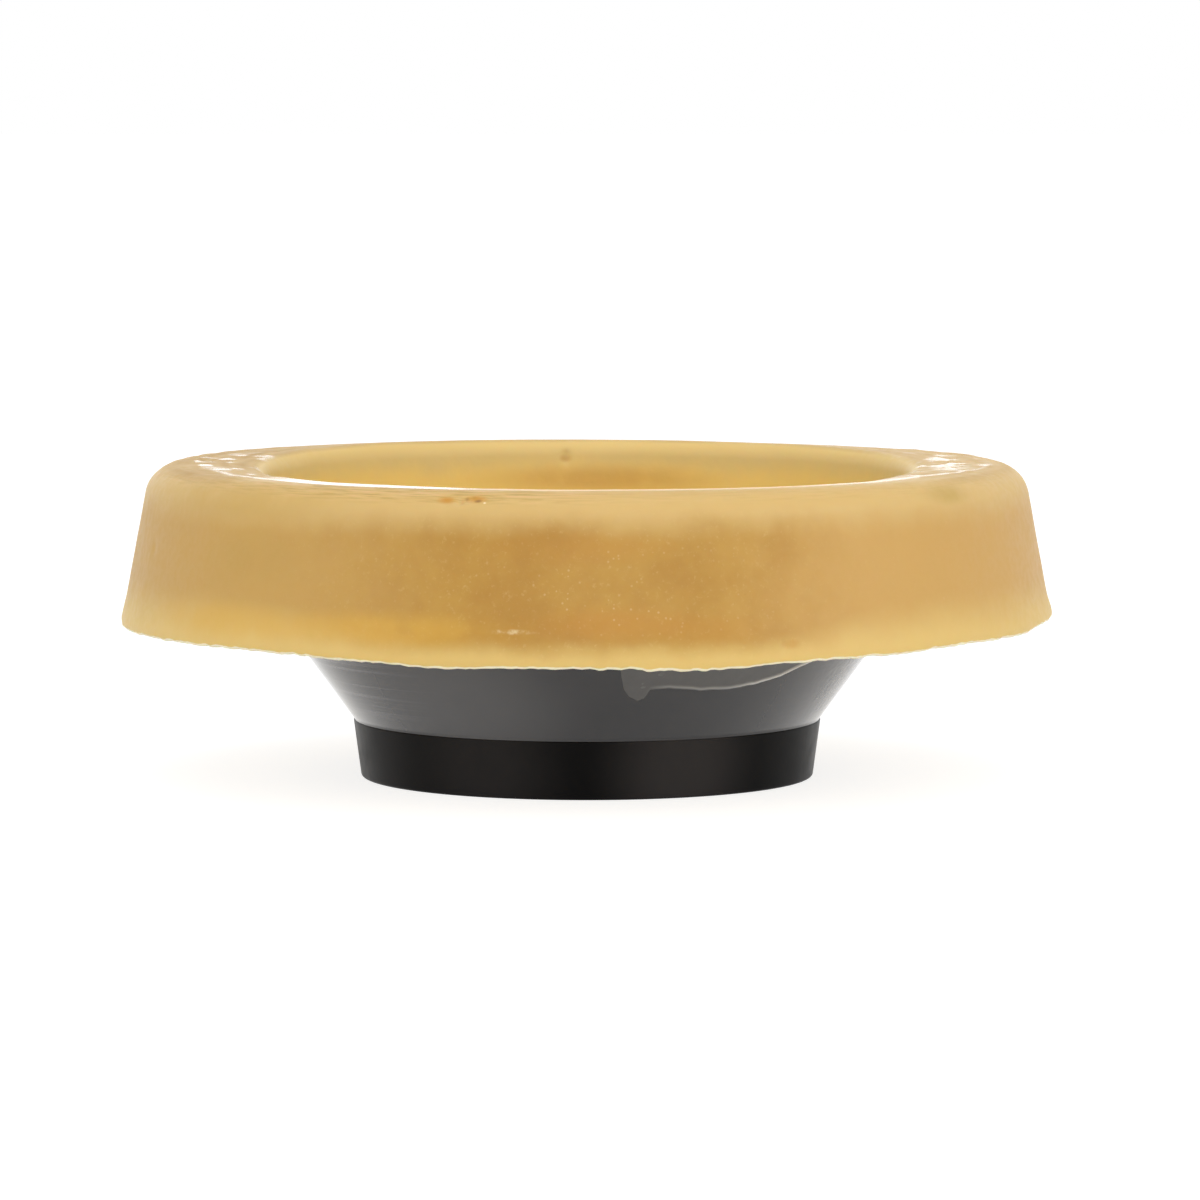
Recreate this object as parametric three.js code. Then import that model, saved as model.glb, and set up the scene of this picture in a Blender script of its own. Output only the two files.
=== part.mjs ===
// A toilet pan seal: a ring of soft wax, cast round the flange of a flared plastic horn.
// The pan's outlet presses into the ring from above. The ring's flat underside beds on the floor
// flange of the waste pipe, and the horn hangs down inside the pipe and guides the waste into it.
// Millimetres, +Z up. The origin is the centre of the horn's lower end, on which the seal stands.
import * as THREE from "three";

// Wax ring, at the corners that its edges would have before they are rounded.
const waxBaseRadius = 70.3;
const waxTopRadius = 65.7;
const waxHeight = 24.3;
const mouthRadius = 48.6;
const baseEdgeRound = 1.6;
const topEdgeRound = 4.2;
const mouthEdgeRound = 2.4;

// Horn: a short collar, a cone that opens upwards and a flat flange round the cone's top.
const hornDrop = 22.9; // how far the horn hangs below the wax
const collarHeight = 8.7;
const collarEndRadius = 34.2;
const collarTopRadius = 35.2;
const coneSlope = 0.728; // radius gained for each millimetre of height
const hornWall = 1.3;
const hornEndRound = 0.5;
const throatRound = 0.9;
const flangeRadius = 57;
const flangeThickness = 1.3;
const flangeCover = 3; // wax below the flange

// How the two fit together.
const castGap = 0.3; // kept between the wax and the plastic all round the flange and the cone
const footSetBack = 0.3; // the wax's inner wall stands this far outside the horn's throat

// How finely the round shapes are faceted.
const turnSegments = 96;
const arcSteps = 5;

// Heights that follow from the sizes above.
const waxBaseZ = hornDrop;
const waxTopZ = waxBaseZ + waxHeight;
const flangeUnderZ = waxBaseZ + flangeCover;
const flangeTopZ = flangeUnderZ + flangeThickness;

// Radii that follow. A sloping wall of one thickness is wider across when it is measured level.
const coneWallAcross = hornWall * Math.hypot(1, coneSlope);
const coneGapAcross = castGap * Math.hypot(1, coneSlope);
const coneRadiusAt = (z) => collarTopRadius + coneSlope * (z - collarHeight);
const throatRadius = coneRadiusAt(flangeTopZ) - coneWallAcross;

// Where the inside of the collar's wall meets the inside of the cone's wall.
const collarSlope = (collarTopRadius - collarEndRadius) / collarHeight;
const collarWallAcross = hornWall * Math.hypot(1, collarSlope);
const innerKneeZ = collarHeight + (coneWallAcross - collarWallAcross) / (coneSlope - collarSlope);
const innerKneeRadius = coneRadiusAt(innerKneeZ) - coneWallAcross;

// One corner of a turned outline: its radius, its height, and the rounding of its edge.
const corner = (radius, z, round = 0) => ({ at: new THREE.Vector2(radius, z), round });

// The points of an arc of the given radius that rounds the corner between its two neighbours.
function roundedCorner(before, { at, round }, after) {
  if (round === 0) return [at];
  const toBefore = before.at.clone().sub(at).normalize();
  const toAfter = after.at.clone().sub(at).normalize();
  const halfAngle = Math.acos(toBefore.dot(toAfter)) / 2;
  const room = Math.min(before.at.distanceTo(at), after.at.distanceTo(at)) / 2;
  const radius = Math.min(round, room * Math.tan(halfAngle));
  const bisector = toBefore.clone().add(toAfter).normalize();
  const centre = at.clone().addScaledVector(bisector, radius / Math.sin(halfAngle));
  const start = at.clone().addScaledVector(toBefore, radius / Math.tan(halfAngle)).sub(centre);
  const end = at.clone().addScaledVector(toAfter, radius / Math.tan(halfAngle)).sub(centre);
  const turn = Math.atan2(start.cross(end), start.dot(end));
  const origin = new THREE.Vector2();
  return Array.from({ length: arcSteps + 1 }, (_, step) =>
    start.clone().rotateAround(origin, (turn * step) / arcSteps).add(centre),
  );
}

// Turns a closed outline of corners round the Z axis. The corners run anticlockwise in (radius, z).
function turned(corners) {
  const outline = corners.flatMap((here, i) =>
    roundedCorner(corners.at(i - 1), here, corners[(i + 1) % corners.length]),
  );
  outline.push(outline[0].clone());
  return new THREE.LatheGeometry(outline, turnSegments).rotateX(Math.PI / 2);
}

function waxRing() {
  const geometry = turned([
    corner(coneRadiusAt(waxBaseZ) + coneGapAcross, waxBaseZ),
    corner(waxBaseRadius, waxBaseZ, baseEdgeRound),
    corner(waxTopRadius, waxTopZ, topEdgeRound),
    corner(mouthRadius, waxTopZ, mouthEdgeRound),
    corner(throatRadius + footSetBack, flangeTopZ + castGap),
    corner(flangeRadius + castGap, flangeTopZ + castGap),
    corner(flangeRadius + castGap, flangeUnderZ - castGap),
    corner(coneRadiusAt(flangeUnderZ - castGap) + coneGapAcross, flangeUnderZ - castGap),
  ]);
  const honeyWax = new THREE.MeshStandardMaterial({ color: 0xd2a55c, roughness: 0.42, metalness: 0 });
  const mesh = new THREE.Mesh(geometry, honeyWax);
  mesh.name = "wax_ring";
  return mesh;
}

function horn() {
  const geometry = turned([
    corner(collarEndRadius - collarWallAcross, 0),
    corner(collarEndRadius, 0, hornEndRound),
    corner(collarTopRadius, collarHeight),
    corner(coneRadiusAt(flangeUnderZ), flangeUnderZ),
    corner(flangeRadius, flangeUnderZ),
    corner(flangeRadius, flangeTopZ),
    corner(throatRadius, flangeTopZ, throatRound),
    corner(innerKneeRadius, innerKneeZ),
  ]);
  const blackPlastic = new THREE.MeshStandardMaterial({ color: 0x1c1b1c, roughness: 0.35, metalness: 0 });
  const mesh = new THREE.Mesh(geometry, blackPlastic);
  mesh.name = "horn";
  return mesh;
}

const seal = new THREE.Group();
seal.name = "toilet_pan_seal";
seal.add(waxRing(), horn());

export default seal;
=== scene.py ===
import itertools
import math

import bpy
import numpy as np
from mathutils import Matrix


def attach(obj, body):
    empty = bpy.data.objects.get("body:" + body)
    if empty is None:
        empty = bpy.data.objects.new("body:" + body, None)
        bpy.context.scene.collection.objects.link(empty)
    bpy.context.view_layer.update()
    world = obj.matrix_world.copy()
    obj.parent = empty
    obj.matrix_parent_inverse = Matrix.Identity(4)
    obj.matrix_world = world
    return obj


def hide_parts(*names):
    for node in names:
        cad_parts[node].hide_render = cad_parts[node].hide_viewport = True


# Looks for the toilet pan seal: soft honey wax, cast round the flange of a flared black horn.
# Lengths are in millimetres, and meshes and materials turn them into metres. Azimuths are in
# degrees round the Z axis, from the front (-Y), and positive towards +X.

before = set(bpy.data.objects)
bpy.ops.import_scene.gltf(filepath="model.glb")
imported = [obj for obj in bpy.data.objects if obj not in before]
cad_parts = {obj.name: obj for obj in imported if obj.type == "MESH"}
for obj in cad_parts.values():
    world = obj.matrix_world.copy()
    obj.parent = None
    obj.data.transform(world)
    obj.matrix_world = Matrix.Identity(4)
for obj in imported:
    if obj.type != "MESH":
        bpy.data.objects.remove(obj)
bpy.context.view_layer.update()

MM = 0.001  # a millimetre in metres

# The seal's outline, as the solids have it.
WAX_BASE_Z = 22.9
WAX_TOP_Z = 47.2
WAX_BASE_RADIUS = 70.3
WAX_TOP_RADIUS = 65.7
MOUTH_RADIUS = 48.6
COLLAR_HEIGHT = 8.7
COLLAR_END_RADIUS = 34.2
COLLAR_TOP_RADIUS = 35.2
CONE_SLOPE = 0.728
HORN_WALL = 1.3
FLANGE_RADIUS = 57.0
FLANGE_UNDER_Z = 25.9
FLANGE_TOP_Z = 27.2

# Camera, as the photograph's outlines place it.
CAMERA_DISTANCE = 900.0
CAMERA_HEIGHT = 102.6
CAMERA_SIDE = 1.96
CAMERA_DOWN = 4.832
CAMERA_LENS = 178.95


def cone_radius(z):
    """The cone's outer radius at a height."""
    return COLLAR_TOP_RADIUS + CONE_SLOPE * (z - COLLAR_HEIGHT)


CONE_WALL_ACROSS = HORN_WALL * math.hypot(1, CONE_SLOPE)
THROAT_RADIUS = cone_radius(FLANGE_TOP_Z) - CONE_WALL_ACROSS


# Shapes. Smooth noise takes its slopes from a lattice that repeats.
LATTICE = 256
_random = np.random.default_rng(20)
_shuffle = _random.permutation(LATTICE)
_slopes = _random.normal(size=(LATTICE, 3))
_slopes /= np.linalg.norm(_slopes, axis=1, keepdims=True)


def noise(points, size, shift=0.0):
    """Smooth noise, about -1 to 1, with bumps about size mm wide."""
    at = points / size + shift
    cell = np.floor(at).astype(int)
    inside = at - cell
    fade = inside**3 * (inside * (inside * 6 - 15) + 10)
    total = np.zeros(points.shape[:-1])
    for ends in itertools.product((0, 1), repeat=3):
        key = np.zeros(total.shape, int)
        weight = np.ones(total.shape)
        for axis, far in enumerate(ends):
            key = _shuffle[(key + cell[..., axis] + far) % LATTICE]
            weight = weight * (fade[..., axis] if far else 1 - fade[..., axis])
        total += weight * np.sum(_slopes[key] * (inside - ends), axis=-1)
    return 1.6 * total


def bumps(points, sizes):
    """Noise of several sizes together, each with its height in mm, its width and its shift."""
    return sum(height * noise(points, width, shift) for height, width, shift in sizes)


def smooth_step(value, low, high):
    """0 below low, 1 above high and a smooth rise between them."""
    t = np.clip((value - low) / (high - low), 0, 1)
    return t * t * (3 - 2 * t)


def smooth_fall(value, low, high):
    """1 below low, 0 above high and a smooth fall between them."""
    return 1 - smooth_step(value, low, high)


def bell(away, width):
    """1 where away is 0, and close to 0 from about twice the width on."""
    return np.exp(-((away / width) ** 2))


def corner(radius, z, rounding=0.0, step=1.0):
    """A corner of an outline, its rounding, and the spacing of points on the edge that follows it."""
    return np.array([radius, z], float), rounding, step


def outline(corners, arc_step=0.4):
    """The closed outline through the corners as points (radius, z), evenly spaced on each edge."""
    arcs = []
    for i, (here, rounding, _) in enumerate(corners):
        before, after = corners[i - 1][0], corners[(i + 1) % len(corners)][0]
        to_before = (before - here) / np.linalg.norm(before - here)
        to_after = (after - here) / np.linalg.norm(after - here)
        if rounding == 0:
            arcs.append([here])
            continue
        half = math.acos(float(to_before @ to_after)) / 2
        middle = (to_before + to_after) / np.linalg.norm(to_before + to_after)
        centre = here + middle * rounding / math.sin(half)
        start = here + to_before * rounding / math.tan(half) - centre
        end = here + to_after * rounding / math.tan(half) - centre
        turn = math.atan2(start[0] * end[1] - start[1] * end[0], float(start @ end))
        steps = max(3, round(abs(turn) * rounding / arc_step))
        angles = turn * np.arange(steps + 1) / steps
        arcs.append([
            centre + [
                math.cos(t) * start[0] - math.sin(t) * start[1],
                math.sin(t) * start[0] + math.cos(t) * start[1],
            ]
            for t in angles
        ])
    points = []
    for i, arc in enumerate(arcs):
        points.extend(arc)
        start, end = arc[-1], arcs[(i + 1) % len(arcs)][0]
        count = max(1, round(float(np.linalg.norm(end - start)) / corners[i][2]))
        points.extend(start + (end - start) * k / count for k in range(1, count))
    return np.array(points)


def outline_normals(points):
    """The outward direction (radius, z) at each point of a closed outline that runs anticlockwise."""
    forward = np.roll(points, -1, axis=0) - np.roll(points, 1, axis=0)
    out = np.stack([forward[:, 1], -forward[:, 0]], axis=1)
    return out / np.linalg.norm(out, axis=1, keepdims=True)


def on_circle(radius, z, azimuth):
    """Points in space from radii, heights and azimuths in degrees."""
    turn = np.radians(azimuth)
    parts = np.broadcast_arrays(radius * np.sin(turn), -radius * np.cos(turn), z)
    return np.stack(parts, axis=-1)


def grid_mesh(name, grid, close_round=True):
    """A closed mesh through a grid of points in millimetres. Each of its rows is a closed outline,
    and the rows either go right round or end in two caps."""
    rounds, across = grid.shape[:2]
    index = np.arange(rounds * across).reshape(rounds, across)
    if close_round:
        index = np.concatenate([index, index[:1]], axis=0)
    index = np.concatenate([index, index[:, :1]], axis=1)
    faces = np.stack([index[:-1, :-1], index[1:, :-1], index[1:, 1:], index[:-1, 1:]], axis=-1)
    faces = faces.reshape(-1, 4).tolist()
    if not close_round:
        faces += [index[0, :-1].tolist(), index[-1, -2::-1].tolist()]
    mesh = bpy.data.meshes.new(name)
    mesh.from_pydata((grid.reshape(-1, 3) * MM).tolist(), [], faces)
    mesh.shade_smooth()
    piece = bpy.data.objects.new(name, mesh)
    bpy.context.scene.collection.objects.link(piece)
    return piece


def mark(piece, name, values):
    """Keeps a value for each of the piece's points, for its material to read."""
    layer = piece.data.attributes.new(name, "FLOAT", "POINT")
    layer.data.foreach_set("value", np.clip(values, 0, 1).ravel())


WAX_TURNS = 720
# The soft swells of the wax's skin, and the roughness of its trimmed lower edge: height, width and
# shift of the noise.
SWELLS = [(0.14, 16, 0.0), (0.06, 6, 3.1), (0.02, 2.2, 7.7)]
EDGE_ROUGHNESS = [(0.09, 2.9, 2.2), (0.17, 1.3, 4.4)]
EDGE_CIRCLE = 70.0  # radius at which that roughness is worked out
# How far the skin faces up, from 0 to 1, where it starts and finishes turning into the top, and how
# far it faces outwards or inwards where it turns into the side or the mouth's wall.
TOP_FACING = (0.75, 0.97)
SIDE_FACING = (0.3, 0.8)
# Azimuths between which the two ends of the top come in and go out again, the gloss goes out, and
# the light that comes through the lip comes in and goes out. Those of the ends and of the gloss are
# the same to the left.
ENDS_IN = (50, 60)
ENDS_OUT = (115, 140)
GLOSS_OUT = (100, 122)
LIT_IN = (-20, -8)
LIT_OUT = (44, 54)
# Small pits: azimuth, radius and height of the middle, width and depth.
PITS = [
    (-15.6, 65.3, 45.9, 0.60, 0.70),
    (-14.4, 65.1, 46.2, 0.45, 0.60),
    (-13.3, 64.9, 46.4, 0.40, 0.45),
    (-17.6, 65.4, 45.8, 1.10, 0.30),
    (-12.0, 64.6, 46.5, 0.50, 0.25),
    (23.5, 69.8, 25.6, 0.50, 0.35),
    (26.0, 69.7, 25.9, 0.40, 0.25),
    (6.6, 70.0, 24.2, 0.35, 0.25),
    (-4.0, 67.6, 37.3, 0.35, 0.15),
    (20.3, 68.0, 35.2, 0.35, 0.15),
    (-175.9, 48.5, 45.1, 0.70, 0.45),
    (44.6, 69.9, 25.0, 0.40, 0.20),
    (-70.0, 67.8, 36.0, 0.80, 0.25),
    (95.0, 68.5, 32.0, 0.90, 0.30),
    (140.0, 66.9, 40.5, 0.70, 0.30),
    (-150.0, 69.0, 29.5, 0.80, 0.30),
]
# Chips in the wax's lower edge, and places where it hangs lower: azimuth, half width, drop.
EDGE_STEPS = [
    (7.1, 0.45, 0.30),
    (3.9, 0.4, 0.12),
    (9.4, 0.5, -0.12),
    (-11.0, 2.5, -0.18),
    (118.0, 6.0, -0.5),
    (-140.0, 5.0, 0.4),
]
# How much higher than the rest the lower edge is, by azimuth.
BASE_LIFT = [
    (-180, 0.3), (-120, 0.1), (-100, 0.4), (-88, 1.0), (-83, 0.3), (-71, 0.45), (-58, 0.5),
    (-42, 0.65), (-36, 0.45), (-30, 0.15), (-23, 0.0), (-20, -0.38), (-13, -0.42), (-8, -0.25),
    (2, -0.28), (7, -0.3), (9, -0.55), (14, -0.6), (18, -0.35), (23, 0.0), (31, 0.25), (40, 0.45),
    (48, 0.85), (57, 0.9), (68, 0.95), (71, 1.35), (79, 1.55), (90, 1.8), (100, 1.2), (118, 0.6),
    (150, 0.2), (180, 0.3),
]
# How far the top falls towards the mouth, by azimuth. At the back it falls outwards instead.
TOP_FALL = [
    (-180, -0.85), (-140, -0.80), (-110, -0.2), (-90, 0.0), (-75, 0.45), (-60, 0.85), (0, 0.95),
    (58, 0.90), (70, 0.45), (85, 0.0), (110, -0.2), (140, -0.80), (180, -0.85),
]
# The radius at which that fall starts.
FALL_START = [
    (-180, 62.0), (-100, 62.0), (-80, 54.0), (-57, 54.2), (-41, 57.0), (-30, 57.2), (-20, 58.4),
    (-14, 59.2), (-8, 59.6), (30, 59.4), (46, 58.6), (55, 56.2), (64, 53.6), (80, 54.0), (100, 62.0),
    (180, 62.0),
]
# How much higher than the rest the top is, by azimuth.
TOP_LIFT = [
    (-180, -0.05), (-150, 0.12), (-120, 0.32), (-105, 0.25), (-88, 0.05), (-70, 0.0), (75, 0.0),
    (95, 0.05), (115, 0.15), (130, 0.0), (150, -0.10), (180, -0.05),
]
# Where the smeared, glossy part of the top ends outwards: azimuth and radius.
SMEAR_EDGE = [
    (-180, 50.2), (-140, 51.0), (-118, 57.0), (-100, 60.5), (-85, 58.8), (-71, 58.2), (-59, 59.3),
    (-48, 60.2), (-34, 61.9), (0, 62.2), (30, 61.6), (44, 60.4), (59, 57.6), (75, 59.2), (82, 60.4),
    (88, 61.6), (96, 61.0), (105, 60.0), (120, 56.0), (140, 51.0), (180, 50.2),
]
# How glossy that part is, by azimuth.
SMEAR_SHARE = [
    (-180, 0.9), (-62, 0.9), (-56, 0.55), (-51, 0.6), (-48, 1.0), (-25, 1.0), (-18, 0.8), (-14, 0.35),
    (-8, 0.15), (30, 0.18), (36, 0.50), (43, 0.50), (50, 0.4), (56, 0.5), (62, 0.9), (180, 0.9),
]
# How glossy the line along its outer edge is, by azimuth.
BORDER_SHARE = [
    (-180, 0.0), (-80, 0.0), (-70, 0.75), (-52, 0.85), (-47, 0.0), (34, 0.0), (40, 0.6), (48, 0.85),
    (70, 0.95), (80, 0.6), (88, 0.0), (180, 0.0),
]
# The brightest smears: azimuth, radius, half angle and half width.
GLINTS = [(-78.0, 57.0, 4.0, 2.4), (79.0, 55.6, 7.0, 2.8), (87.0, 60.4, 2.6, 1.8)]


def along(table, azimuth):
    """A value at each azimuth, from a table of azimuths and values."""
    places, values = zip(*table)
    return np.interp(azimuth, places, values)


def wax_profile():
    """The wax ring's outline, with the points closest where its shoulder and its lower edge show."""
    inner_base = cone_radius(WAX_BASE_Z) - 0.1
    inner_foot = THROAT_RADIUS + 0.3
    return outline([
        corner(inner_base, WAX_BASE_Z, 0, 2.0),
        corner(WAX_BASE_RADIUS, WAX_BASE_Z, 0.45, 0.7),
        corner(WAX_TOP_RADIUS + 0.1, WAX_TOP_Z, 4.9, 0.3),
        corner(MOUTH_RADIUS, WAX_TOP_Z, 2.4, 1.0),
        corner(inner_foot, FLANGE_TOP_Z - 0.05, 0, 4.0),
        corner(FLANGE_RADIUS + 0.2, FLANGE_TOP_Z - 0.05, 0, 2.0),
        corner(FLANGE_RADIUS + 0.2, FLANGE_UNDER_Z + 0.05, 0, 4.0),
        corner(cone_radius(FLANGE_UNDER_Z) - 0.1, FLANGE_UNDER_Z + 0.05, 0, 1.6),
    ])


class WaxSkin:
    """The points of the wax ring's plain surface, and what its swells and smears follow."""

    def __init__(self, profile):
        normals = outline_normals(profile)
        self.azimuth = np.linspace(-180, 180, WAX_TURNS, endpoint=False)[:, None]
        self.turn = np.radians(self.azimuth)
        self.radius, self.z = profile[None, :, 0], profile[None, :, 1]
        self.out_r, self.out_z = normals[None, :, 0], normals[None, :, 1]
        self.points = on_circle(self.radius, self.z, self.azimuth)
        self.top = smooth_step(self.out_z, *TOP_FACING)
        self.inside_edge = along(SMEAR_EDGE, self.azimuth) - self.radius

        # At its two ends as the front sees them, the top is drawn into ridges that run round it.
        self.aside = smooth_step(np.abs(self.azimuth), *ENDS_IN)
        self.at_ends = self.aside * smooth_fall(np.abs(self.azimuth), *ENDS_OUT)
        drawn = np.broadcast_arrays(self.radius, 2.3 * self.turn, self.z * 0)
        self.ridges = noise(np.stack(drawn, axis=-1), 1.0, 0.4)
        self.lumps = noise(self.points, 4.6, 2.9)
        self.crumbs = noise(self.points, 1.9, 5.3)


def skin_relief(skin):
    """How far the skin stands out: soft swells, ridges at the ends of the top, and small pits."""
    side = smooth_step(skin.out_r, *SIDE_FACING)
    mouth = smooth_step(-skin.out_r, *SIDE_FACING)
    push = bumps(skin.points, SWELLS) * (side + 0.5 * mouth + 0.3 * skin.top)
    ends = 0.06 * skin.ridges + 0.14 * skin.lumps + 0.04 * skin.crumbs
    push = push + skin.top * skin.at_ends * ends
    for pit_azimuth, pit_radius, pit_z, width, depth in PITS:
        centre = on_circle(pit_radius, pit_z, pit_azimuth)
        away = np.linalg.norm(skin.points - centre, axis=-1)
        push = push - depth * bell(away, width)
    above_flange = skin.z > FLANGE_TOP_Z
    outside_flange = skin.radius > FLANGE_RADIUS + 1
    underside = skin.z < WAX_BASE_Z + 0.5
    return push * (above_flange | outside_flange | underside)


def top_lean(skin):
    """How far the top is raised: less towards the mouth, and more in some places than in others."""
    start = along(FALL_START, skin.azimuth)
    inner = np.clip((start - skin.radius) / (start - 50), 0, 1)
    inner = inner * smooth_step(skin.z, WAX_TOP_Z - 5, WAX_TOP_Z)
    lift = along(TOP_LIFT, skin.azimuth) * smooth_step(skin.z, WAX_TOP_Z - 4, WAX_TOP_Z)
    return lift - along(TOP_FALL, skin.azimuth) * inner


def edge_hang(skin):
    """How far the lower edge is raised. It is uneven, and rough where the wax was trimmed."""
    circle = on_circle(EDGE_CIRCLE, 0.0, skin.azimuth[:, 0])[:, None, :]
    rough = bumps(circle, EDGE_ROUGHNESS)
    for step_azimuth, half_width, drop in EDGE_STEPS:
        rough = rough - drop * bell(skin.azimuth - step_azimuth, half_width)
    lift = along(BASE_LIFT, skin.azimuth) * smooth_fall(skin.z, WAX_BASE_Z + 0.2, WAX_BASE_Z + 6)
    hang = rough * smooth_fall(skin.z, WAX_BASE_Z + 0.3, WAX_BASE_Z + 2.4) + lift
    return hang * smooth_step(skin.radius, 62, 69.5)


def glossy_share(skin):
    """How glossy the top is, from 0 to 1: where it was smeared, and in streaks at its two ends."""
    swirl = 0.5 * skin.ridges * smooth_fall(skin.radius, 55, 58)
    swirl = swirl + 0.9 * skin.lumps + 0.35 * skin.crumbs
    streaky = smooth_step(swirl, 0.05, 0.5)
    for azimuth, radius, half_angle, half_width in GLINTS:
        near = bell(skin.azimuth - azimuth, half_angle) * bell(skin.radius - radius, half_width)
        streaky = np.maximum(streaky, near * smooth_step(skin.crumbs, -0.45, 0.05))
    smear = smooth_step(skin.inside_edge, -0.1, 0.35) * along(SMEAR_SHARE, skin.azimuth)
    smear = smear * (1 - skin.at_ends * (1 - streaky))

    # The line along the outer edge gets thinner towards the two ends.
    width = np.maximum(1.7 * np.cos(skin.turn), 0.4)
    border = bell(skin.inside_edge - width, width) * along(BORDER_SHARE, skin.azimuth)
    return skin.top * np.maximum(smear, border) * smooth_fall(np.abs(skin.azimuth), *GLOSS_OUT)


def dull_and_shade_share(skin):
    """How dull and brown the top is, from 0 to 1: in long smears of painted shade, strongest at its two
    ends, and in a line round the glossy part.
    """
    drawn = (skin.radius / 1.6, 4.0 * np.sin(skin.turn), 4.0 * np.cos(skin.turn))
    smears = 0.8 + 0.45 * noise(np.stack(np.broadcast_arrays(*drawn), axis=-1), 1.0, 6.1)
    strength = 0.10 + (0.40 - 0.14 * np.sin(skin.turn)) * skin.aside
    line = bell(skin.inside_edge + 0.45, 0.32) * along(SMEAR_SHARE, skin.azimuth)
    return np.maximum(skin.top * strength * smears, 0.6 * line * (1 - skin.aside))


def lit_share(skin):
    """How much light comes through the thin lip of the top in front, from 0 to 1."""
    band = smooth_step(skin.inside_edge, -0.3, 0.4) * smooth_fall(skin.inside_edge, 2.5, 4.5)
    band = band * smooth_step(skin.azimuth, *LIT_IN) * smooth_fall(skin.azimuth, *LIT_OUT)
    return skin.top * band


def edge_highlight_share(skin):
    """1 at the lower outer edge, where the wax was trimmed, and 0 from 2 mm above it on: where its
    cream painted highlight goes.
    """
    near = (1 - np.abs(skin.z - WAX_BASE_Z) / 2) * smooth_step(skin.radius, 67.5, 69.3)
    return near * np.ones_like(skin.azimuth)


def wax_ring():
    """The wax ring, with its soft swells, trimmed lower edge, smeared top and pits."""
    skin = WaxSkin(wax_profile())
    push = skin_relief(skin)
    piece = grid_mesh("wax_ring_soft", on_circle(
        skin.radius + push * skin.out_r,
        skin.z + push * skin.out_z + top_lean(skin) + edge_hang(skin),
        skin.azimuth,
    ))
    mark(piece, "smear", glossy_share(skin))
    # Where the top is painted duller and browner, as painted shade.
    mark(piece, "dull_and_shade", dull_and_shade_share(skin))
    mark(piece, "lit", lit_share(skin))
    # Where the cream painted highlight goes along the lower edge.
    mark(piece, "edge_highlight", edge_highlight_share(skin))
    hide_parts("wax_ring")
    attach(piece, "root")
    return piece


# Lower edge of the thin wax film on the cone: azimuth and height.
FILM_EDGE = [
    (6.0, 22.6), (6.8, 19.0), (7.6, 17.0), (8.8, 15.9), (10.6, 15.2), (12.0, 15.6), (12.9, 16.9),
    (16.9, 17.06), (23.6, 16.56), (30.6, 16.5), (36.0, 17.0), (42.0, 17.9), (46.5, 19.3),
    (52.0, 20.5), (55.5, 21.5), (58.5, 22.5), (60.0, 22.95),
]
FILM_THICKNESS = 0.05
FILM_STEP = 0.25  # degrees
FILM_WAVES = [(0.08, 2.0, 0.0)]  # of its lower edge: height, width and shift of the noise
FILM_CIRCLE = 42.0  # radius at which they are worked out
# The bead: how far its middle is above the film's edge, its width, and by azimuth its height and
# the strength of its painted highlight and of the painted shadow under it.
BEAD_UP = 0.28
BEAD_WIDTH = 0.19
BEAD_HEIGHT = [(6, 0.0), (13, 0.0), (16, 0.06), (30, 0.10), (38, 0.22), (44, 0.32), (60, 0.32)]
# Strength of the bead's painted highlight and of the painted shadow under it.
BEAD_PAINTED_LIGHT = [(6, 0.0), (12, 0.0), (16, 0.20), (30, 0.35), (37, 0.80), (42, 1.0), (60, 1.0)]


def wax_film():
    """A thin film of wax that ran down the cone, with a raised bead along its lower edge."""
    azimuth = np.arange(FILM_EDGE[0][0], FILM_EDGE[-1][0] + 0.01, FILM_STEP)[:, None]
    low = along(FILM_EDGE, azimuth) + bumps(on_circle(FILM_CIRCLE, 0.0, azimuth), FILM_WAVES)

    # Rows of points up from the lower edge, close together across the bead, and back down inside.
    # The topmost are inside the wax ring.
    near = np.array([-0.14, -0.02, 0.08, 0.16, 0.24, 0.32, 0.40, 0.50, 0.66, 0.95])[None, :]
    share = np.linspace(0, 1, 9)[None, 1:]
    top = np.maximum(WAX_BASE_Z + 0.3, low + 1.1)
    start = low + near
    rest = start[:, -1:] + (top - start[:, -1:]) * share
    inside = low + (top - low) * np.array([1, 0.5, 0])[None, :]
    z = np.concatenate([start, rest, inside], axis=1)
    thickness = np.full(near.size + share.size, FILM_THICKNESS)
    thickness[0] = 0.01
    out = np.concatenate([thickness, [-0.3, -0.3, -0.2]])[None, :]

    bead = bell(z - low - BEAD_UP, BEAD_WIDTH) * (out > 0)
    bead_light = along(BEAD_PAINTED_LIGHT, azimuth)
    shade = smooth_fall(z, low - 0.02, low + 0.12) * (out > 0) * bead_light
    out = out + bead * along(BEAD_HEIGHT, azimuth)
    lie = math.hypot(1, CONE_SLOPE)
    grid = on_circle(cone_radius(z) + out / lie, z - out * CONE_SLOPE / lie, azimuth)
    piece = grid_mesh("wax_film", grid, close_round=False)
    # Where the painted highlight goes along the bead.
    mark(piece, "bead", bead * bead_light)
    # Where the painted shadow goes under the bead.
    mark(piece, "shade", shade)
    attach(piece, "root")
    return piece


HORN_TURNS = 480
LIP = 0.15  # the collar's upper edge stands this far proud of the cone


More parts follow.
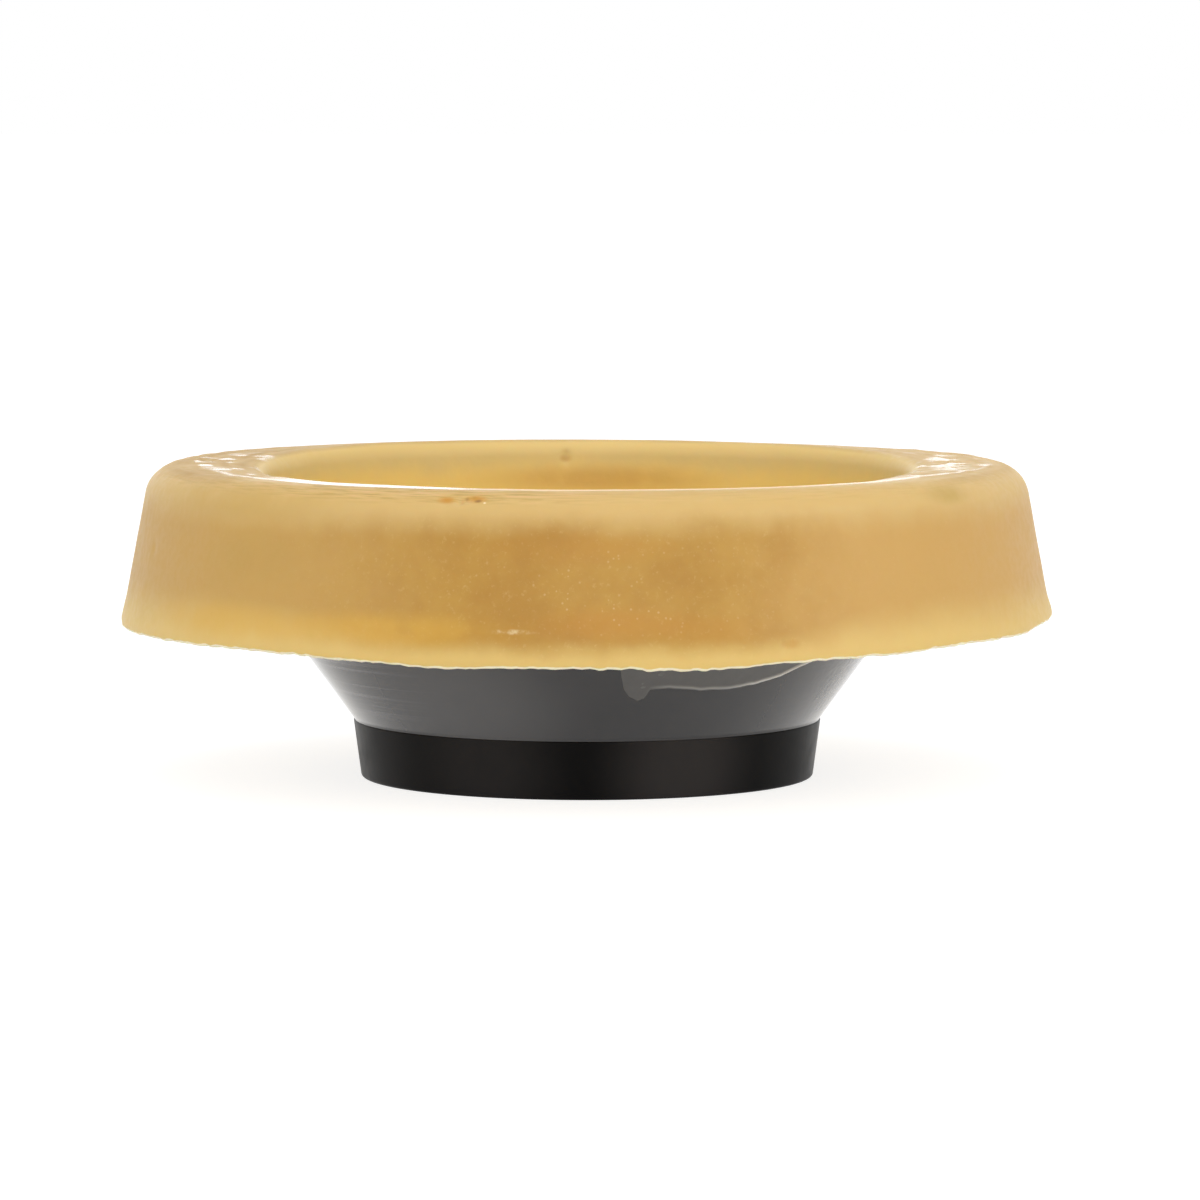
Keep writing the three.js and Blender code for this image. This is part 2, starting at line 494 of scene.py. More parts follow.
def horn():
    """The horn: collar, cone and flange, smooth all the way round."""
    collar_wall = HORN_WALL * math.hypot(1, (COLLAR_TOP_RADIUS - COLLAR_END_RADIUS) / COLLAR_HEIGHT)
    profile = outline([
        corner(COLLAR_END_RADIUS - collar_wall, 0, 0.15, 0.6),
        corner(COLLAR_END_RADIUS, 0, 0.5, 0.5),
        corner(COLLAR_TOP_RADIUS + LIP, COLLAR_HEIGHT - 0.1, 0.12, 0.4),
        corner(COLLAR_TOP_RADIUS, COLLAR_HEIGHT + 0.05, 0, 0.6),
        corner(cone_radius(FLANGE_UNDER_Z), FLANGE_UNDER_Z, 0, 3.0),
        corner(FLANGE_RADIUS, FLANGE_UNDER_Z, 0, 1.3),
        corner(FLANGE_RADIUS, FLANGE_TOP_Z, 0, 3.0),
        corner(THROAT_RADIUS, FLANGE_TOP_Z, 0.9, 0.9),
        corner(COLLAR_TOP_RADIUS - 1.45, COLLAR_HEIGHT + 0.55, 0.6, 0.9),
    ], arc_step=0.15)
    azimuth = np.linspace(-180, 180, HORN_TURNS, endpoint=False)[:, None]
    piece = grid_mesh("horn_smooth", on_circle(profile[None, :, 0], profile[None, :, 1], azimuth))
    mark(piece, "outside", np.tile(outline_normals(profile)[:, 0] > 0.2, HORN_TURNS).astype(float))
    on_collar = (profile[:, 1] < COLLAR_HEIGHT + 0.01) & (profile[:, 0] > COLLAR_END_RADIUS - 0.6)
    piece.data.polygons.foreach_set("material_index", np.tile(on_collar.astype(np.int32), HORN_TURNS))
    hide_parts("horn")
    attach(piece, "root")
    return piece


# Materials, all made of nodes.
def put(tree, kind, inputs=None, **settings):
    """A new node. Each input is a value, or a socket to link it to."""
    node = tree.nodes.new(kind)
    for name, value in settings.items():
        setattr(node, name, value)
    for key, value in (inputs or {}).items():
        if isinstance(value, bpy.types.NodeSocket):
            tree.links.new(value, node.inputs[key])
        else:
            node.inputs[key].default_value = value
    return node


def new_material(name):
    """An empty material with its output, and its node tree."""
    material = bpy.data.materials.new(name)
    material.use_nodes = True
    tree = material.node_tree
    tree.nodes.clear()
    return material, tree


def kept(tree, name):
    """The value that mark() kept at each point of the piece."""
    return put(tree, "ShaderNodeAttribute", attribute_name=name).outputs["Fac"]


def position(tree):
    """The point in the object's own space, in metres."""
    return put(tree, "ShaderNodeTexCoord").outputs["Object"]


def clouds(tree, where, size, detail=2.0, roughness=0.5):
    """Noise from 0 to 1 with patches about size mm wide."""
    node = put(tree, "ShaderNodeTexNoise", {
        "Vector": where, "Scale": 1 / (size * MM), "Detail": detail, "Roughness": roughness,
    })
    return node.outputs["Fac"]


def rise(tree, value, low, high, to_low=0.0, to_high=1.0):
    """value, from low to high, as a smooth rise from to_low to to_high."""
    node = put(tree, "ShaderNodeMapRange", {
        "Value": value, "From Min": low, "From Max": high, "To Min": to_low, "To Max": to_high,
    }, interpolation_type="SMOOTHSTEP")
    return node.outputs["Result"]


def rise_mm(tree, value, reach, to_low=0.0, to_high=1.0):
    """The same for a length, between the two millimetres of reach."""
    return rise(tree, value, reach[0] * MM, reach[1] * MM, to_low, to_high)


def calc(tree, operation, a, b=0.0, c=0.0):
    """One step of arithmetic."""
    return put(tree, "ShaderNodeMath", {0: a, 1: b, 2: c}, operation=operation).outputs[0]


def blend(tree, factor, a, b):
    """Colour a where the factor is 0, and b where it is 1."""
    node = put(tree, "ShaderNodeMix", {"Factor": factor}, data_type="RGBA")
    for socket, value in ((node.inputs[6], a), (node.inputs[7], b)):
        if isinstance(value, bpy.types.NodeSocket):
            tree.links.new(value, socket)
        else:
            socket.default_value = (*value, 1)
    return node.outputs[2]


WAX_DEEP = (0.455, 0.232, 0.030)
WAX_MIDDLE = (0.515, 0.285, 0.044)
# Paler side tones: partly the wax's own tone, and partly painted light for the lamps' light and sheen
# on the sides.
WAX_RIGHT_TONE_AND_LIGHT = (0.63, 0.37, 0.100)
WAX_LEFT_TONE_AND_LIGHT = (0.58, 0.345, 0.084)
# Painted light: the mouth's wall is painted paler and yellower, to lift the shade inside the mouth.
WAX_MOUTH_PAINTED_LIGHT = (0.77, 0.555, 0.195)
WAX_MOUTH_LOW_PAINTED_LIGHT = (0.98, 0.65, 0.16)
# Painted shade, dark brown inside the pits.
WAX_PIT_SHADE = (0.24, 0.11, 0.02)
# A pale tone, used for the wax's grain and also as painted light on the crown from above.
WAX_PALE_GRAIN_AND_CROWN_LIGHT = (0.70, 0.485, 0.18)
# Painted glow of light from below, coming through the wax near its lower edge.
WAX_LOWER_GLOW = (0.80, 0.58, 0.19)
# Cream painted highlight, along the lower edge and beside the pits.
WAX_PAINTED_HIGHLIGHT = (1.0, 0.90, 0.64)
WAX_SPECK = (0.88, 0.72, 0.42)
WAX_ORANGE = (0.54, 0.240, 0.024)
WAX_OLIVE = (0.46, 0.29, 0.06)
WAX_PINK = (0.76, 0.47, 0.23)
# Dull brown, as painted shade on the top, most of all at its two ends.
WAX_DULL_AND_SHADE = (0.42, 0.25, 0.085)
WAX_LIT = (1.0, 0.66, 0.30)
WAX_GOLDEN = (0.74, 0.42, 0.05)
WAX_AMBER = (0.57, 0.262, 0.018)
WAX_SHOULDER = (0.58, 0.37, 0.095)
WAX_DULL = (0.50, 0.325, 0.07)

# Where the wax's tone and its painted light change, from and to in millimetres: along X, upwards, and
# from the axis.
RIGHT_SIDE = (14, 42)
LEFT_SIDE = (-52, -14)
BAND_GROWS = (22, 52)
CROWN_UP = (40.0, 45.0)
MOUTH_UP = (41.5, 46)
MOUTH_OUT = (49.6, 51.2)
# The lower band of painted glow, for light from below coming through the wax, starts at BAND_LOW and
# ends at BAND_TOP, or BAND_GROWTH higher at the sides.
BAND_LOW = 23.0
BAND_TOP = 27.2
BAND_GROWTH = 5.0
# The same for the streaks, which come in upwards and outwards, and get weaker to the right, to the
# far left and to the back. Then how long and how wide a streak is.
STREAKS_UP = (44.9, 46.4)
STREAKS_OUT = (54, 57)
STREAKS_RIGHT = (-18, 8)
STREAKS_LEFT = (-60, -42)
STREAKS_BACK = (-34, -4)
STREAK_LENGTH = 5
STREAK_WIDTH = 0.55

# Patches of another tone, and painted shade and painted highlights at the pits: colour, strength,
# azimuth, radius, height, half width and half height.
PATCHES = [
    (WAX_ORANGE, 0.50, 3.0, 69.2, 28.9, 12.0, 2.8),
    (WAX_ORANGE, 0.35, 14.0, 69.3, 28.0, 8.0, 2.6),
    (WAX_ORANGE, 0.30, -1.0, 67.0, 39.5, 14.0, 2.6),
    (WAX_GOLDEN, 0.45, -48.0, 69.7, 27.4, 20.0, 3.0),
    (WAX_GOLDEN, 0.50, -24.0, 69.7, 27.6, 20.0, 2.8),
    (WAX_SHOULDER, 0.75, -50.0, 65.0, 44.5, 24.0, 3.2),
    (WAX_OLIVE, 0.25, -45.0, 67.8, 36.5, 12.0, 4.5),
    (WAX_AMBER, 1.0, -17.6, 65.4, 45.9, 1.6, 0.6),
    (WAX_AMBER, 0.9, -13.8, 65.2, 46.1, 1.9, 0.6),
    # Painted shade inside the three pits at the front of the crown.
    (WAX_PIT_SHADE, 1.0, -15.0, 65.3, 46.1, 0.8, 0.40),
    (WAX_PIT_SHADE, 1.0, -14.2, 65.0, 46.4, 0.6, 0.36),
    (WAX_PIT_SHADE, 1.0, -13.5, 65.3, 45.9, 0.7, 0.34),
    # Painted highlights beside the pits.
    (WAX_PAINTED_HIGHLIGHT, 1.0, -13.8, 65.2, 46.15, 0.30, 0.18),
    (WAX_PAINTED_HIGHLIGHT, 1.0, -15.7, 65.5, 45.75, 0.30, 0.18),
    (WAX_PAINTED_HIGHLIGHT, 0.8, -12.6, 65.4, 45.6, 0.25, 0.15),
    (WAX_ORANGE, 0.80, -71.0, 62.5, 46.4, 1.8, 0.5),
    (WAX_ORANGE, 0.50, -80.0, 63.5, 46.0, 2.5, 0.6),
    (WAX_DULL, 0.75, 53.0, 64.0, 45.2, 6.5, 1.6),
    (WAX_ORANGE, 0.50, 177.5, 48.3, 41.8, 20.0, 2.4),
    (WAX_ORANGE, 0.70, -175.9, 48.5, 45.1, 1.1, 0.7),
    (WAX_ORANGE, 0.40, 24.5, 69.8, 25.7, 1.6, 0.8),
]
# The dustiest part in front, and a pale scuff near the lower edge, placed in the same way.
DUST_AT = (4, 68.5, 33.5, 26.0, 8.0)
SCUFF_AT = (-8.6, 69.6, 27.8, 3.4, 0.40)


def patch_at(tree, where, azimuth, radius, z, half_width, half_height):
    """1 in the middle of a soft round patch on the seal, and 0 outside it."""
    middle = on_circle(radius, z, azimuth) * MM
    stretch = (1 / half_width / MM, 1 / half_width / MM, 1 / half_height / MM)
    offset = put(tree, "ShaderNodeVectorMath", {0: where, 1: tuple(middle)}, operation="SUBTRACT")
    scaled = put(tree, "ShaderNodeVectorMath", {0: offset.outputs[0], 1: stretch}, operation="MULTIPLY")
    away = put(tree, "ShaderNodeVectorMath", {0: scaled.outputs[0]}, operation="LENGTH")
    return rise(tree, away.outputs["Value"], 0.2, 1.25, 1.0, 0.0)


def specks(tree, where, size, chosen_above, reach):
    """Small round spots, in the cells whose random number is above chosen_above."""
    cells = put(tree, "ShaderNodeTexVoronoi", {"Vector": where, "Scale": 1 / (size * MM)})
    number = put(tree, "ShaderNodeSeparateColor", {0: cells.outputs["Color"]}).outputs[0]
    near = rise(tree, cells.outputs["Distance"], reach * 0.5, reach, 1.0, 0.0)
    return calc(tree, "MULTIPLY", near, calc(tree, "GREATER_THAN", number, chosen_above))


def mix_number(tree, factor, a, b):
    """Number a where the factor is 0, and b where it is 1."""
    return put(tree, "ShaderNodeMix", {"Factor": factor, 2: a, 3: b}, data_type="FLOAT").outputs[0]


def honey(tree, where, patchy, fine):
    """Cloudy honey with a fine grain, a little darker and lighter."""
    wide = clouds(tree, where, 24, 2.0)
    tone = calc(tree, "MULTIPLY_ADD", wide, 0.50, calc(tree, "MULTIPLY", patchy, 0.30))
    tone = calc(tree, "MULTIPLY_ADD", fine, 0.20, tone)
    colour = blend(tree, rise(tree, tone, 0.38, 0.62), WAX_DEEP, WAX_MIDDLE)
    grain = clouds(tree, where, 0.7, 3.0, 0.7)
    colour = blend(tree, rise(tree, grain, 0.55, 0.80, 0.0, 0.35), colour, WAX_PALE_GRAIN_AND_CROWN_LIGHT)
    return blend(tree, rise(tree, grain, 0.45, 0.20, 0.0, 0.35), colour, WAX_ORANGE)


def paler_sides_and_side_light(tree, x, patchy, colour):
    """The wax is paler to the right and to the left than in front: partly its own tone, and partly
    painted light for the lamps' light and sheen on the sides.
    """
    across = calc(tree, "MULTIPLY_ADD", patchy, 12 * MM, calc(tree, "SUBTRACT", x, 6 * MM))
    colour = blend(tree, rise_mm(tree, across, RIGHT_SIDE, 0.0, 0.9), colour, WAX_RIGHT_TONE_AND_LIGHT)
    return blend(tree, rise_mm(tree, across, LEFT_SIDE, 0.9, 0.0), colour, WAX_LEFT_TONE_AND_LIGHT)


def painted_crown_and_lower_glow(tree, x, level, colour):
    """Painted light: the crown is painted paler where light from above falls on it, and so is a lower
    band, as a painted glow of light from below through the wax; that band is taller at the sides than
    in front.
    """
    aside = rise_mm(tree, calc(tree, "ABSOLUTE", x), BAND_GROWS)
    band_top = calc(tree, "MULTIPLY_ADD", aside, BAND_GROWTH * MM, BAND_TOP * MM)
    band = calc(tree, "DIVIDE", calc(tree, "SUBTRACT", level, BAND_LOW * MM),
                calc(tree, "SUBTRACT", band_top, BAND_LOW * MM))
    colour = blend(tree, rise(tree, band, 0.1, 1.0, 0.75, 0.0), colour, WAX_LOWER_GLOW)
    return blend(tree, rise_mm(tree, level, CROWN_UP, 0.0, 0.8), colour, WAX_PALE_GRAIN_AND_CROWN_LIGHT)


def mouth_wall_painted_light(tree, radius, level, colour):
    """The wall round the mouth is painted paler and yellower, most of all lower down: painted light
    that lifts the shade inside the mouth.
    """
    mouth = blend(tree, rise_mm(tree, level, MOUTH_UP), WAX_MOUTH_LOW_PAINTED_LIGHT, WAX_MOUTH_PAINTED_LIGHT)
    return blend(tree, rise_mm(tree, radius, MOUTH_OUT, 0.9, 0.0), colour, mouth)


def streaks(tree, split, radius, colour):
    """Thin streaks on the outer part of the flat top, where the wax was drawn round the crown."""
    x, y, height = split.outputs["X"], split.outputs["Y"], split.outputs["Z"]
    drawn = put(tree, "ShaderNodeCombineXYZ", {
        0: calc(tree, "MULTIPLY", x, 1 / (STREAK_LENGTH * MM)),
        1: calc(tree, "MULTIPLY", y, 1 / (STREAK_LENGTH * MM)),
        2: calc(tree, "MULTIPLY", calc(tree, "SUBTRACT", radius, height), 1 / (STREAK_WIDTH * MM)),
    })
    line = put(tree, "ShaderNodeTexNoise", {
        "Vector": drawn.outputs[0], "Scale": 1.0, "Detail": 3.0,
    }).outputs["Fac"]

    # They are strongest in front, to the left of the middle.
    strength = rise_mm(tree, x, STREAKS_RIGHT, 0.75, 0.15)
    strength = calc(tree, "MULTIPLY", strength, rise_mm(tree, x, STREAKS_LEFT, 0.4, 1.0))
    strength = calc(tree, "MULTIPLY", strength, rise_mm(tree, y, STREAKS_BACK, 1.0, 0.35))
    reach = calc(tree, "MULTIPLY", rise_mm(tree, height, STREAKS_UP), strength)
    reach = calc(tree, "MULTIPLY", reach, rise_mm(tree, radius, STREAKS_OUT))
    olive = calc(tree, "MULTIPLY", rise(tree, line, 0.46, 0.66), reach)
    pink = calc(tree, "MULTIPLY", rise(tree, line, 0.48, 0.32), reach)
    return blend(tree, pink, blend(tree, olive, colour, WAX_OLIVE), WAX_PINK)


def patches(tree, where, patchy, colour):
    """The patches of another tone, with the painted shade and painted highlights at the pits, uneven in
    strength.
    """
    uneven = rise(tree, patchy, 0.25, 0.55, 0.4, 1.0)
    for tint, strength, *place in PATCHES:
        spot = calc(tree, "MULTIPLY", patch_at(tree, where, *place), strength)
        colour = blend(tree, calc(tree, "MULTIPLY", spot, uneven), colour, tint)
    return colour


def dust(tree, where, patchy, colour):
    """Pale and dark specks, most of them in front, and one pale scuff."""
    dusty = calc(tree, "ADD", patch_at(tree, where, *DUST_AT), 0.12)
    pale = calc(tree, "MULTIPLY", specks(tree, where, 0.8, 0.66, 0.26), rise(tree, patchy, 0.38, 0.60))
    kinds = (
        (calc(tree, "MULTIPLY", pale, 0.22), WAX_SPECK),
        (calc(tree, "MULTIPLY", specks(tree, where, 1.5, 0.75, 0.15), 0.40), WAX_DEEP),
        (calc(tree, "MULTIPLY", specks(tree, where, 4.0, 0.80, 0.075), 0.35), WAX_SPECK),
    )
    for strength, tint in kinds:
        colour = blend(tree, calc(tree, "MULTIPLY", strength, dusty), colour, tint)
    scuff = calc(tree, "MULTIPLY", patch_at(tree, where, *SCUFF_AT),
                 rise(tree, clouds(tree, where, 1.3, 3.0), 0.46, 0.66, 0.05, 0.7))
    return blend(tree, scuff, colour, WAX_SPECK)


def wax_colour(tree, where, split, patchy, level):
    """The wax's colour, from its clouds to its specks, its painted light and shade, and the painted
    highlight along its trimmed edge.
    """
    x, y = split.outputs["X"], split.outputs["Y"]
    flat = put(tree, "ShaderNodeCombineXYZ", {0: x, 1: y}).outputs[0]
    radius = put(tree, "ShaderNodeVectorMath", {0: flat}, operation="LENGTH").outputs["Value"]
    fine = clouds(tree, where, 2.2, 3.0)

    colour = honey(tree, where, patchy, fine)
    colour = paler_sides_and_side_light(tree, x, patchy, colour)
    colour = painted_crown_and_lower_glow(tree, x, level, colour)
    colour = mouth_wall_painted_light(tree, radius, level, colour)
    colour = streaks(tree, split, radius, colour)
    # Painted shade: the top is painted duller and browner in long smears, most of all at its ends.
    colour = blend(tree, kept(tree, "dull_and_shade"), colour, WAX_DULL_AND_SHADE)
    colour = blend(tree, calc(tree, "MULTIPLY", kept(tree, "lit"), 0.6), colour, WAX_LIT)
    colour = patches(tree, where, patchy, colour)
    colour = dust(tree, where, patchy, colour)

    # A thin cream line along the trimmed lower edge: a painted highlight, for the bright floor's light
    # on the edge's underside.
    nibble = calc(tree, "MULTIPLY_ADD", fine, -0.16, kept(tree, "edge_highlight"))
    return blend(tree, rise(tree, nibble, 0.71, 0.80), colour, WAX_PAINTED_HIGHLIGHT)


def wax_material():
    """Honey wax: satin at the sides, glossy where its top was smeared."""
    material, tree = new_material("honey_wax")
    where = position(tree)
    split = put(tree, "ShaderNodeSeparateXYZ", {0: where})
    patchy = clouds(tree, where, 7, 3.0)
    base = calc(tree, "SUBTRACT", split.outputs["Z"], 1.5 * MM)
    level = calc(tree, "MULTIPLY_ADD", patchy, 3.0 * MM, base)
    colour = wax_colour(tree, where, split, patchy, level)

    smear = kept(tree, "smear")
    fine = clouds(tree, where, 1.2, 2.0)
    satin = rise(tree, fine, 0.3, 0.7, 0.42, 0.52)
    satin = calc(tree, "MULTIPLY_ADD", kept(tree, "dull_and_shade"), 0.22, satin)
    glossy = rise(tree, patchy, 0.35, 0.65, 0.04, 0.10)
    roughness = mix_number(tree, smear, satin, glossy)

    grain = calc(tree, "MULTIPLY_ADD", fine, 0.5, calc(tree, "MULTIPLY", patchy, 0.9))
    grain = calc(tree, "MULTIPLY", grain, calc(tree, "SUBTRACT", 1.0, smear))
    bump = put(tree, "ShaderNodeBump", {"Strength": 0.25, "Distance": 0.25 * MM, "Height": grain})
    shader = put(tree, "ShaderNodeBsdfPrincipled", {
        "Base Color": colour,
        "Roughness": roughness,
        "Normal": bump.outputs["Normal"],
        "IOR": 1.47,
        "Subsurface Weight": 0.3,
        "Subsurface Radius": (1.0, 0.5, 0.18),
        "Subsurface Scale": 0.003,
    })
    put(tree, "ShaderNodeOutputMaterial", {"Surface": shader.outputs[0]})
    return material


PLASTIC = (0.033, 0.033, 0.037)
PLASTIC_WORN = (0.045, 0.045, 0.050)
# Painted reflection: a broad lighter patch on the cone's left.
PLASTIC_PAINTED_REFLECTION = (0.103, 0.103, 0.111)
PLASTIC_SCUFFED = (0.46, 0.45, 0.48)
# Turned lines on the cone's left flank, painted light grey as painted highlights.
PLASTIC_LINE_HIGHLIGHT = (0.16, 0.16, 0.18)
COLLAR_DARK = (0.0045, 0.0045, 0.0048)
COLLAR_WORN = (0.0085, 0.0083, 0.0085)
# Painted reflection of the lamps on the collar.
COLLAR_PAINTED_REFLECTION = (0.046, 0.043, 0.044)
FILM_THIN = (0.104, 0.104, 0.105)
FILM_THICK = (0.144, 0.144, 0.145)
FILM_BEAD_HIGHLIGHT = (0.97, 0.97, 0.97)

# Marks on the cone, with a painted reflection and painted highlights on turned lines among them:
# azimuth, radius, height, half width and half height.
PAINTED_REFLECTION_AT = (-26, 38.5, 14.0, 16.0, 14.0)
SCUFFED_AT = (82, 41.5, 16.5, 12.0, 11.0)
LINED_AT = (-66, 41.5, 17.0, 20.0, 10.0)
MOTTLED_AT = (72, 40.0, 16.5, 13.0, 8.0)

# Painted reflections of the lamps on the collar, as soft lighter bands: strength, and then the same
# five numbers.
COLLAR_REFLECTION_BANDS = [
    (1.0, 24, 34.7, 4.4, 12.0, 16.0),
    (0.55, -26, 34.7, 4.4, 12.0, 16.0),
    (0.25, -60, 34.7, 4.4, 12.0, 16.0),
]


def around(tree, where):
    """The azimuth from the front in radians, and the height in metres."""
    split = put(tree, "ShaderNodeSeparateXYZ", {0: where})
    backwards = calc(tree, "MULTIPLY", split.outputs["Y"], -1.0)
    return calc(tree, "ARCTAN2", split.outputs["X"], backwards), split.outputs["Z"]


def cone_colour(tree, where, haze, line):
    """Black, with a lighter patch as a painted reflection, a scuffed patch, and turned lines painted
    lighter as painted highlights, on the cone's outside.
    """
    outside = kept(tree, "outside")
    scuffs = rise(tree, clouds(tree, where, 0.9, 6.0, 0.8), 0.38, 0.68, 0.10, 0.95)
    lines = rise(tree, line, 0.50, 0.68, 0.0, 0.9)
    # A painted reflection, as a broad lighter patch.
    reflected = patch_at(tree, where, *PAINTED_REFLECTION_AT)
    scuffed = calc(tree, "MULTIPLY", patch_at(tree, where, *SCUFFED_AT), scuffs)
    # Real turned lines, painted lighter as painted highlights.
    lined = calc(tree, "MULTIPLY", patch_at(tree, where, *LINED_AT), lines)
    colour = blend(tree, haze, PLASTIC, PLASTIC_WORN)
    for strength, tint in (
        (reflected, PLASTIC_PAINTED_REFLECTION), (scuffed, PLASTIC_SCUFFED), (lined, PLASTIC_LINE_HIGHLIGHT),
    ):
        colour = blend(tree, calc(tree, "MULTIPLY", strength, outside), colour, tint)
    return colour


def cone_material():
    """Black plastic with a shine, fine turned lines and a mottled patch."""
    material, tree = new_material("black_plastic_cone")
    where = position(tree)
    haze = clouds(tree, where, 9, 3.0)
    turn, height = around(tree, where)
    rings = put(tree, "ShaderNodeCombineXYZ", {
        0: calc(tree, "MULTIPLY", turn, 0.6), 2: calc(tree, "MULTIPLY", height, 1 / (0.5 * MM)),
    })
    line = put(tree, "ShaderNodeTexNoise", {
        "Vector": rings.outputs[0], "Scale": 1.0, "Detail": 3.0,
    }).outputs["Fac"]
    mottle = calc(tree, "MULTIPLY", clouds(tree, where, 1.1, 4.0),
                  patch_at(tree, where, *MOTTLED_AT))
    roughness = calc(tree, "MULTIPLY_ADD", mottle, 0.15, rise(tree, haze, 0.3, 0.7, 0.16, 0.26))
    relief = calc(tree, "MULTIPLY_ADD", line, 0.5, calc(tree, "MULTIPLY", mottle, 3.0))
    bump = put(tree, "ShaderNodeBump", {"Strength": 0.6, "Distance": 0.08 * MM, "Height": relief})
    shader = put(tree, "ShaderNodeBsdfPrincipled", {
        "Base Color": cone_colour(tree, where, haze, line),
        "Roughness": roughness,
        "Normal": bump.outputs["Normal"],
        "IOR": 1.18,
        "Coat Weight": 1.0,
        "Coat Roughness": 0.08,
        "Coat IOR": 1.42,
    })
    put(tree, "ShaderNodeOutputMaterial", {"Surface": shader.outputs[0]})
    return material


def collar_material():
    """The same plastic with a dull face, as the collar has it, and painted reflections of the lamps in
    soft bands.
    """
    material, tree = new_material("black_plastic_collar")
    where = position(tree)
    haze = clouds(tree, where, 6, 3.0)
    colour = blend(tree, haze, COLLAR_DARK, COLLAR_WORN)
    # Painted reflections of the lamps, as lighter vertical bands.
    for strength, *place in COLLAR_REFLECTION_BANDS:
        reflection = calc(tree, "MULTIPLY", patch_at(tree, where, *place), strength)
        colour = blend(tree, reflection, colour, COLLAR_PAINTED_REFLECTION)
    roughness = rise(tree, haze, 0.3, 0.7, 0.30, 0.40)
    bump = put(tree, "ShaderNodeBump", {
        "Strength": 0.15, "Distance": 0.05 * MM, "Height": clouds(tree, where, 0.7, 2.0),
    })
    shader = put(tree, "ShaderNodeBsdfPrincipled", {
        "Base Color": colour,
        "Roughness": roughness,
        "Normal": bump.outputs["Normal"],
        "IOR": 1.13,
    })
    put(tree, "ShaderNodeOutputMaterial", {"Surface": shader.outputs[0]})
    return material


def film_material():
    """A grey skin of wax over the plastic, with a painted highlight along its bead and a painted shadow
    under it.
    """
    material, tree = new_material("wax_film_skin")
    where = position(tree)
    haze = clouds(tree, where, 2.5, 3.0)
    colour = blend(tree, haze, FILM_THIN, FILM_THICK)
    # A painted highlight along the bead.
    colour = blend(tree, kept(tree, "bead"), colour, FILM_BEAD_HIGHLIGHT)
    # A painted shadow under the bead, in the plastic's colour.
    colour = blend(tree, kept(tree, "shade"), colour, PLASTIC)
    bump = put(tree, "ShaderNodeBump", {
        "Strength": 0.2, "Distance": 0.08 * MM, "Height": clouds(tree, where, 1.5, 2.0),
    })
    shader = put(tree, "ShaderNodeBsdfPrincipled", {
        "Base Color": colour,
        "Roughness": rise(tree, haze, 0.3, 0.7, 0.16, 0.28),
        "Normal": bump.outputs["Normal"],
        "IOR": 1.5,
    })
    put(tree, "ShaderNodeOutputMaterial", {"Surface": shader.outputs[0]})
    return material


# Studio: a floor, a surround and lamps.
def seen_directly(tree):
    """1 for rays from the camera, and for what shows in gloss or through glass."""
    rays = put(tree, "ShaderNodeLightPath")
    direct = calc(tree, "ADD", rays.outputs["Is Camera Ray"], rays.outputs["Is Glossy Ray"])
    direct = calc(tree, "ADD", direct, rays.outputs["Is Transmission Ray"])
    return calc(tree, "MINIMUM", direct, 1.0)


WORLD_STRENGTH = 0.65
FLOOR_SIZE = 30.0  # metres
FLOOR_COLOUR = (0.80, 0.80, 0.80)
# Where it is seen, the floor is mostly white by itself, and its shadow is faint.
FLOOR_SEEN_COLOUR = (0.40, 0.40, 0.40)
FLOOR_SEEN_WHITE = 0.80
# Soft lamps: name, place and size in metres, and power.
LAMPS = [
    ("softbox_front", (0.15, -1.20, 0.75), 1.1, 4.5),
    ("softbox_above", (0.0, -0.1, 1.3), 0.9, 2.2),
    ("softbox_left", (-1.1, -0.6, 0.6), 0.8, 2.6),
    ("softbox_right", (1.1, -0.6, 0.6), 0.8, 3.2),
    ("softbox_behind", (-0.1, 1.6, 0.22), 0.9, 1.6),
]


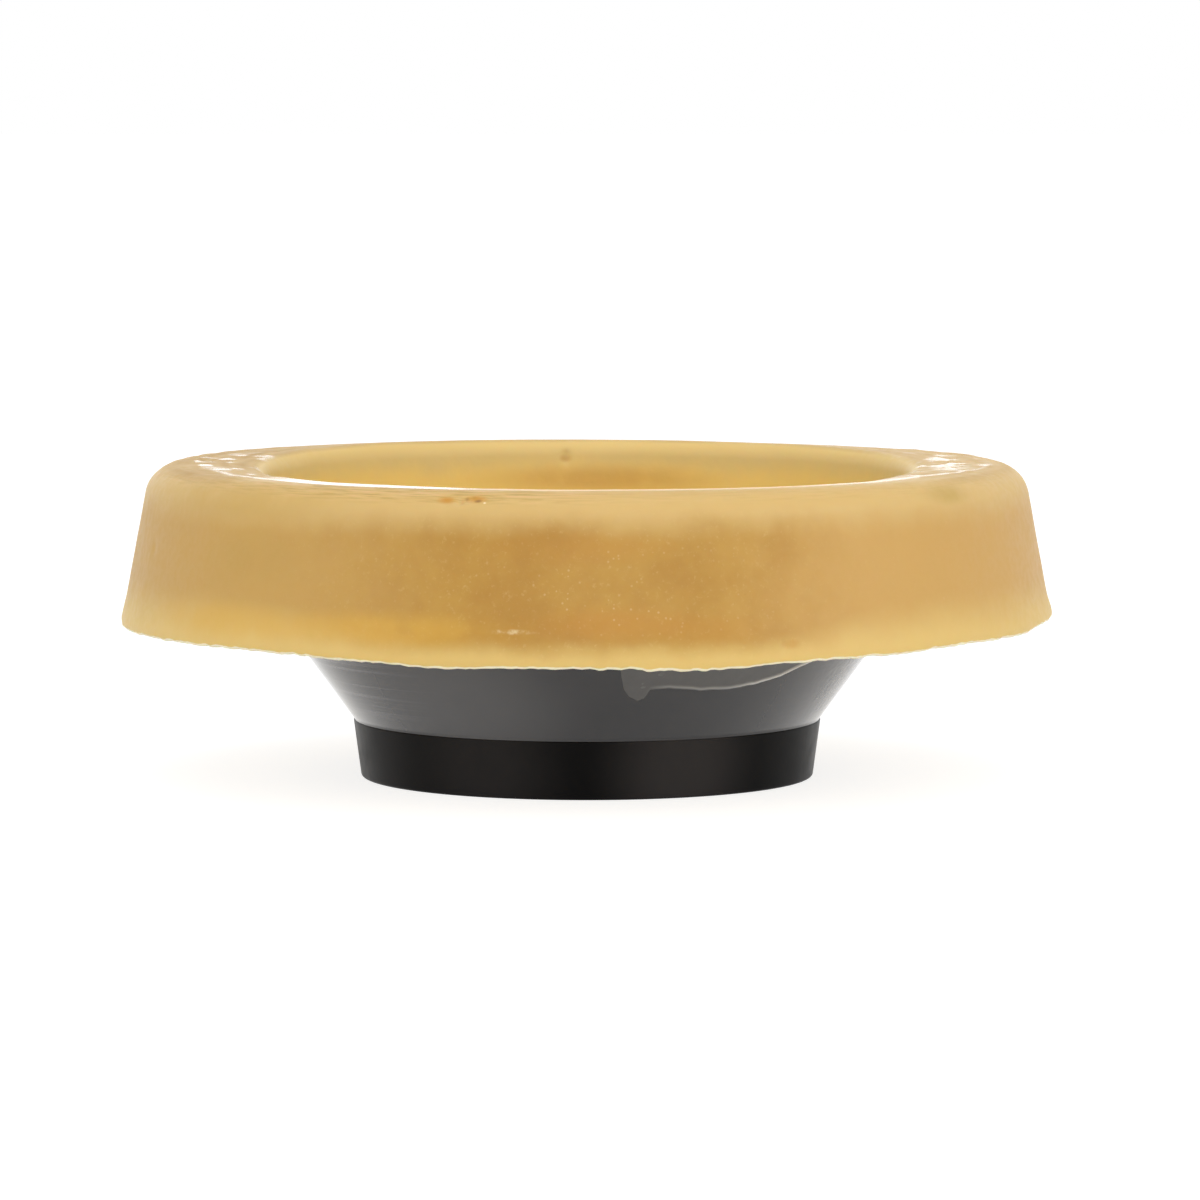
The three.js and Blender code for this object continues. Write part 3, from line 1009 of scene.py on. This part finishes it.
def studio():
    """A pale floor, a white surround and soft lamps."""
    world = bpy.data.worlds.new("surround")
    bpy.context.scene.world = world
    world.use_nodes = True
    tree = world.node_tree
    tree.nodes.clear()
    strength = mix_number(tree, seen_directly(tree), WORLD_STRENGTH, 1.0)
    background = put(tree, "ShaderNodeBackground", {"Color": (1, 1, 1, 1), "Strength": strength})
    put(tree, "ShaderNodeOutputWorld", {0: background.outputs[0]})

    material, tree = new_material("studio_floor")
    seen = seen_directly(tree)
    diffuse = put(tree, "ShaderNodeBsdfDiffuse", {
        "Color": blend(tree, seen, FLOOR_COLOUR, FLOOR_SEEN_COLOUR),
    })
    white = put(tree, "ShaderNodeEmission", {
        "Color": (1, 1, 1, 1), "Strength": calc(tree, "MULTIPLY", seen, FLOOR_SEEN_WHITE),
    })
    both = put(tree, "ShaderNodeAddShader", {0: diffuse.outputs[0], 1: white.outputs[0]})
    put(tree, "ShaderNodeOutputMaterial", {"Surface": both.outputs[0]})

    half = FLOOR_SIZE / 2
    mesh = bpy.data.meshes.new("floor")
    mesh.from_pydata([(-half, -half, 0), (half, -half, 0), (half, half, 0), (-half, half, 0)], [],
                     [(0, 1, 2, 3)])
    mesh.materials.append(material)
    floor = bpy.data.objects.new("floor", mesh)
    bpy.context.scene.collection.objects.link(floor)

    for lamp in LAMPS:
        softbox(*lamp)


def softbox(name, place, size, power):
    """A square lamp that faces the seal."""
    light = bpy.data.lights.new(name, "AREA")
    light.shape = "SQUARE"
    light.size = size
    light.energy = power
    lamp = bpy.data.objects.new(name, light)
    lamp.location = place
    lamp.rotation_euler = (-lamp.location).to_track_quat("-Z", "Y").to_euler()
    bpy.context.scene.collection.objects.link(lamp)


def camera():
    """The camera, where the photograph was taken from."""
    data = bpy.data.cameras.new("camera")
    data.lens = CAMERA_LENS
    data.sensor_width = 36
    data.clip_end = 100  # metres
    eye = bpy.data.objects.new("camera", data)
    eye.location = (CAMERA_SIDE * MM, -CAMERA_DISTANCE * MM, CAMERA_HEIGHT * MM)
    eye.rotation_euler = (math.radians(90 - CAMERA_DOWN), 0, 0)
    bpy.context.scene.collection.objects.link(eye)
    bpy.context.scene.camera = eye


def paint(piece, *materials):
    """Gives a piece its materials, in the order of its faces' numbers."""
    for material in materials:
        piece.data.materials.append(material)


bpy.context.scene.view_settings.view_transform = "Standard"
camera()
studio()
paint(wax_ring(), wax_material())
paint(horn(), cone_material(), collar_material())
paint(wax_film(), film_material())
